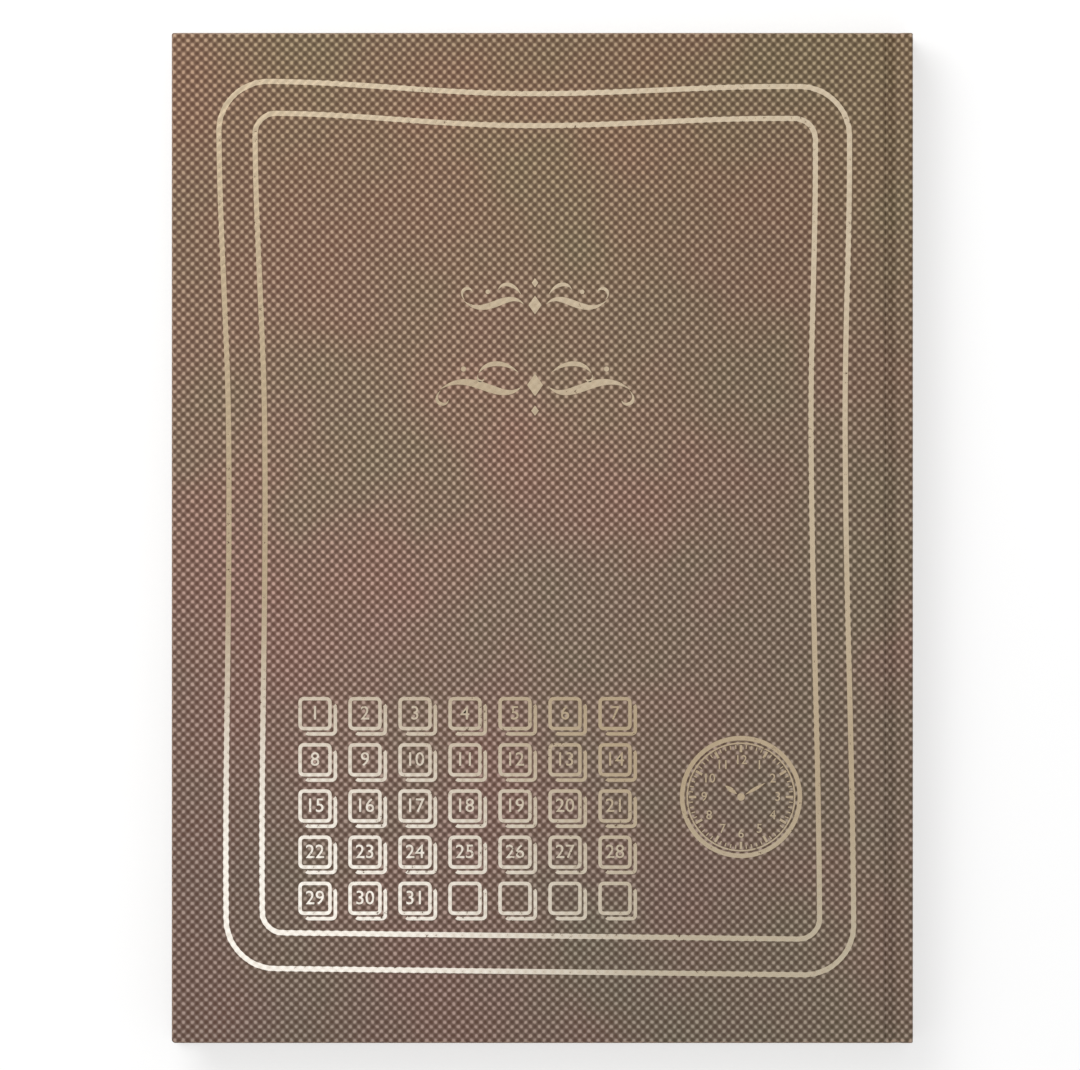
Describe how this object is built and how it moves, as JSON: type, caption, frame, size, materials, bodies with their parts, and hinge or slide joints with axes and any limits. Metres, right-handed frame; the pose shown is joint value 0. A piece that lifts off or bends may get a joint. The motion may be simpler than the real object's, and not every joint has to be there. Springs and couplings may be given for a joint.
{
  "type": "appointment book",
  "caption": "Hard-cover appointment book, case bound and sewn, with cloth-covered boards, a gold-stamped border, turning leaves and covers hinged at the joints.",
  "frame": {"origin": "middle of the back cover's outer face, on which the closed book lies", "axes": "+Z through the closed book from the back cover to the front cover, +Y towards the head, +X towards the spine"},
  "size_m": [0.2136, 0.291, 0.0185],
  "materials": {
    "book_cloth": "brown starched book cloth with a lattice of raised pale dots, satin",
    "gold_foil": "pale gold stamping foil, satin metallic",
    "greyboard": "pressed grey board, matt",
    "page_paper": "uncoated off-white writing paper",
    "endpaper": "uncoated cream endpaper",
    "kraft_paper": "brown kraft paper, matt",
    "mull": "open cotton gauze, matt",
    "thread": "waxed white binding thread",
    "headband_silk": "woven headband with a beaded edge, satin"
  },
  "bodies": {
    "text_block": {"signature_01_fold": "page_paper", "signature_02": "page_paper", "signature_03": "page_paper", "signature_04": "page_paper", "signature_05": "page_paper", "signature_06": "page_paper", "signature_07": "page_paper", "signature_08": "page_paper", "signature_09": "page_paper", "signature_10": "page_paper", "signature_11": "page_paper", "signature_12_fold": "page_paper", "sewing_thread_1": "thread", "sewing_thread_2": "thread", "sewing_thread_3": "thread", "sewing_thread_4": "thread", "front_endpaper_fold": "endpaper", "back_endpaper_fold": "endpaper", "headband": "headband_silk", "tailband": "headband_silk", "mull_lining": "mull", "kraft_lining": "kraft_paper", "spine_board": "greyboard", "spine_cloth": "book_cloth"},
    "front_cover": {"front_board": "greyboard", "front_cover_cloth": "book_cloth", "front_mull_flange": "mull", "front_pastedown": "endpaper", "foil_border_outer": "gold_foil", "foil_border_inner": "gold_foil"},
    "back_cover": {"back_board": "greyboard", "back_cover_cloth": "book_cloth", "back_mull_flange": "mull", "back_pastedown": "endpaper"},
    "front_flyleaf": {"front_flyleaf": "endpaper"},
    "leaf_01": {"leaf_01": "page_paper"},
    "leaf_02": {"leaf_02": "page_paper"},
    "leaf_03": {"leaf_03": "page_paper"},
    "leaf_04": {"leaf_04": "page_paper"},
    "leaf_05": {"leaf_05": "page_paper"},
    "leaf_06": {"leaf_06": "page_paper"},
    "leaf_07": {"leaf_07": "page_paper"},
    "leaf_08": {"leaf_08": "page_paper"},
    "back_flyleaf": {"back_flyleaf": "endpaper"},
    "leaf_96": {"leaf_96": "page_paper"},
    "leaf_95": {"leaf_95": "page_paper"},
    "leaf_94": {"leaf_94": "page_paper"},
    "leaf_93": {"leaf_93": "page_paper"},
    "leaf_92": {"leaf_92": "page_paper"},
    "leaf_91": {"leaf_91": "page_paper"},
    "leaf_90": {"leaf_90": "page_paper"},
    "leaf_89": {"leaf_89": "page_paper"}
  },
  "joints": [
    {"name": "front_cover_hinge", "type": "hinge", "parent": "text_block", "child": "front_cover", "pos_m": [0.09915, 0, 0.01861], "axis": [0, 1, 0], "range_deg": [0, 180]},
    {"name": "back_cover_hinge", "type": "hinge", "parent": "text_block", "child": "back_cover", "pos_m": [0.09915, 0, -0.00015], "axis": [0, -1, 0], "range_deg": [0, 180]},
    {"name": "front_flyleaf_turn", "type": "hinge", "parent": "text_block", "child": "front_flyleaf", "pos_m": [0.09915, 0, 0.01861], "axis": [0, 1, 0], "range_deg": [0, 174.7]},
    {"name": "leaf_01_turn", "type": "hinge", "parent": "text_block", "child": "leaf_01", "pos_m": [0.09915, 0, 0.01861], "axis": [0, 1, 0], "range_deg": [0, 169.2]},
    {"name": "leaf_02_turn", "type": "hinge", "parent": "text_block", "child": "leaf_02", "pos_m": [0.09915, 0, 0.01861], "axis": [0, 1, 0], "range_deg": [0, 162.1]},
    {"name": "leaf_03_turn", "type": "hinge", "parent": "text_block", "child": "leaf_03", "pos_m": [0.09915, 0, 0.01861], "axis": [0, 1, 0], "range_deg": [0, 153.1]},
    {"name": "leaf_04_turn", "type": "hinge", "parent": "text_block", "child": "leaf_04", "pos_m": [0.09915, 0, 0.01861], "axis": [0, 1, 0], "range_deg": [0, 142.3]},
    {"name": "leaf_05_turn", "type": "hinge", "parent": "text_block", "child": "leaf_05", "pos_m": [0.09915, 0, 0.01861], "axis": [0, 1, 0], "range_deg": [0, 129.7]},
    {"name": "leaf_06_turn", "type": "hinge", "parent": "text_block", "child": "leaf_06", "pos_m": [0.09915, 0, 0.01861], "axis": [0, 1, 0], "range_deg": [0, 115.2]},
    {"name": "leaf_07_turn", "type": "hinge", "parent": "text_block", "child": "leaf_07", "pos_m": [0.09915, 0, 0.01861], "axis": [0, 1, 0], "range_deg": [0, 99.1]},
    {"name": "leaf_08_turn", "type": "hinge", "parent": "text_block", "child": "leaf_08", "pos_m": [0.09915, 0, 0.01861], "axis": [0, 1, 0], "range_deg": [0, 81]},
    {"name": "back_flyleaf_turn", "type": "hinge", "parent": "text_block", "child": "back_flyleaf", "pos_m": [0.09915, 0, -0.00015], "axis": [0, -1, 0], "range_deg": [0, 174.7]},
    {"name": "leaf_96_turn", "type": "hinge", "parent": "text_block", "child": "leaf_96", "pos_m": [0.09915, 0, -0.00015], "axis": [0, -1, 0], "range_deg": [0, 169.2]},
    {"name": "leaf_95_turn", "type": "hinge", "parent": "text_block", "child": "leaf_95", "pos_m": [0.09915, 0, -0.00015], "axis": [0, -1, 0], "range_deg": [0, 162.1]},
    {"name": "leaf_94_turn", "type": "hinge", "parent": "text_block", "child": "leaf_94", "pos_m": [0.09915, 0, -0.00015], "axis": [0, -1, 0], "range_deg": [0, 153.1]},
    {"name": "leaf_93_turn", "type": "hinge", "parent": "text_block", "child": "leaf_93", "pos_m": [0.09915, 0, -0.00015], "axis": [0, -1, 0], "range_deg": [0, 142.3]},
    {"name": "leaf_92_turn", "type": "hinge", "parent": "text_block", "child": "leaf_92", "pos_m": [0.09915, 0, -0.00015], "axis": [0, -1, 0], "range_deg": [0, 129.7]},
    {"name": "leaf_91_turn", "type": "hinge", "parent": "text_block", "child": "leaf_91", "pos_m": [0.09915, 0, -0.00015], "axis": [0, -1, 0], "range_deg": [0, 115.2]},
    {"name": "leaf_90_turn", "type": "hinge", "parent": "text_block", "child": "leaf_90", "pos_m": [0.09915, 0, -0.00015], "axis": [0, -1, 0], "range_deg": [0, 99.1]},
    {"name": "leaf_89_turn", "type": "hinge", "parent": "text_block", "child": "leaf_89", "pos_m": [0.09915, 0, -0.00015], "axis": [0, -1, 0], "range_deg": [0, 81]}
  ],
  "couplings": [
    {"joint": "front_flyleaf_turn", "follows": "front_cover_hinge", "ratio": 0.97},
    {"joint": "leaf_01_turn", "follows": "front_cover_hinge", "ratio": 0.94},
    {"joint": "leaf_02_turn", "follows": "front_cover_hinge", "ratio": 0.9},
    {"joint": "leaf_03_turn", "follows": "front_cover_hinge", "ratio": 0.85},
    {"joint": "leaf_04_turn", "follows": "front_cover_hinge", "ratio": 0.79},
    {"joint": "leaf_05_turn", "follows": "front_cover_hinge", "ratio": 0.72},
    {"joint": "leaf_06_turn", "follows": "front_cover_hinge", "ratio": 0.64},
    {"joint": "leaf_07_turn", "follows": "front_cover_hinge", "ratio": 0.55},
    {"joint": "leaf_08_turn", "follows": "front_cover_hinge", "ratio": 0.45},
    {"joint": "back_flyleaf_turn", "follows": "back_cover_hinge", "ratio": 0.97},
    {"joint": "leaf_96_turn", "follows": "back_cover_hinge", "ratio": 0.94},
    {"joint": "leaf_95_turn", "follows": "back_cover_hinge", "ratio": 0.9},
    {"joint": "leaf_94_turn", "follows": "back_cover_hinge", "ratio": 0.85},
    {"joint": "leaf_93_turn", "follows": "back_cover_hinge", "ratio": 0.79},
    {"joint": "leaf_92_turn", "follows": "back_cover_hinge", "ratio": 0.72},
    {"joint": "leaf_91_turn", "follows": "back_cover_hinge", "ratio": 0.64},
    {"joint": "leaf_90_turn", "follows": "back_cover_hinge", "ratio": 0.55},
    {"joint": "leaf_89_turn", "follows": "back_cover_hinge", "ratio": 0.45}
  ]
}
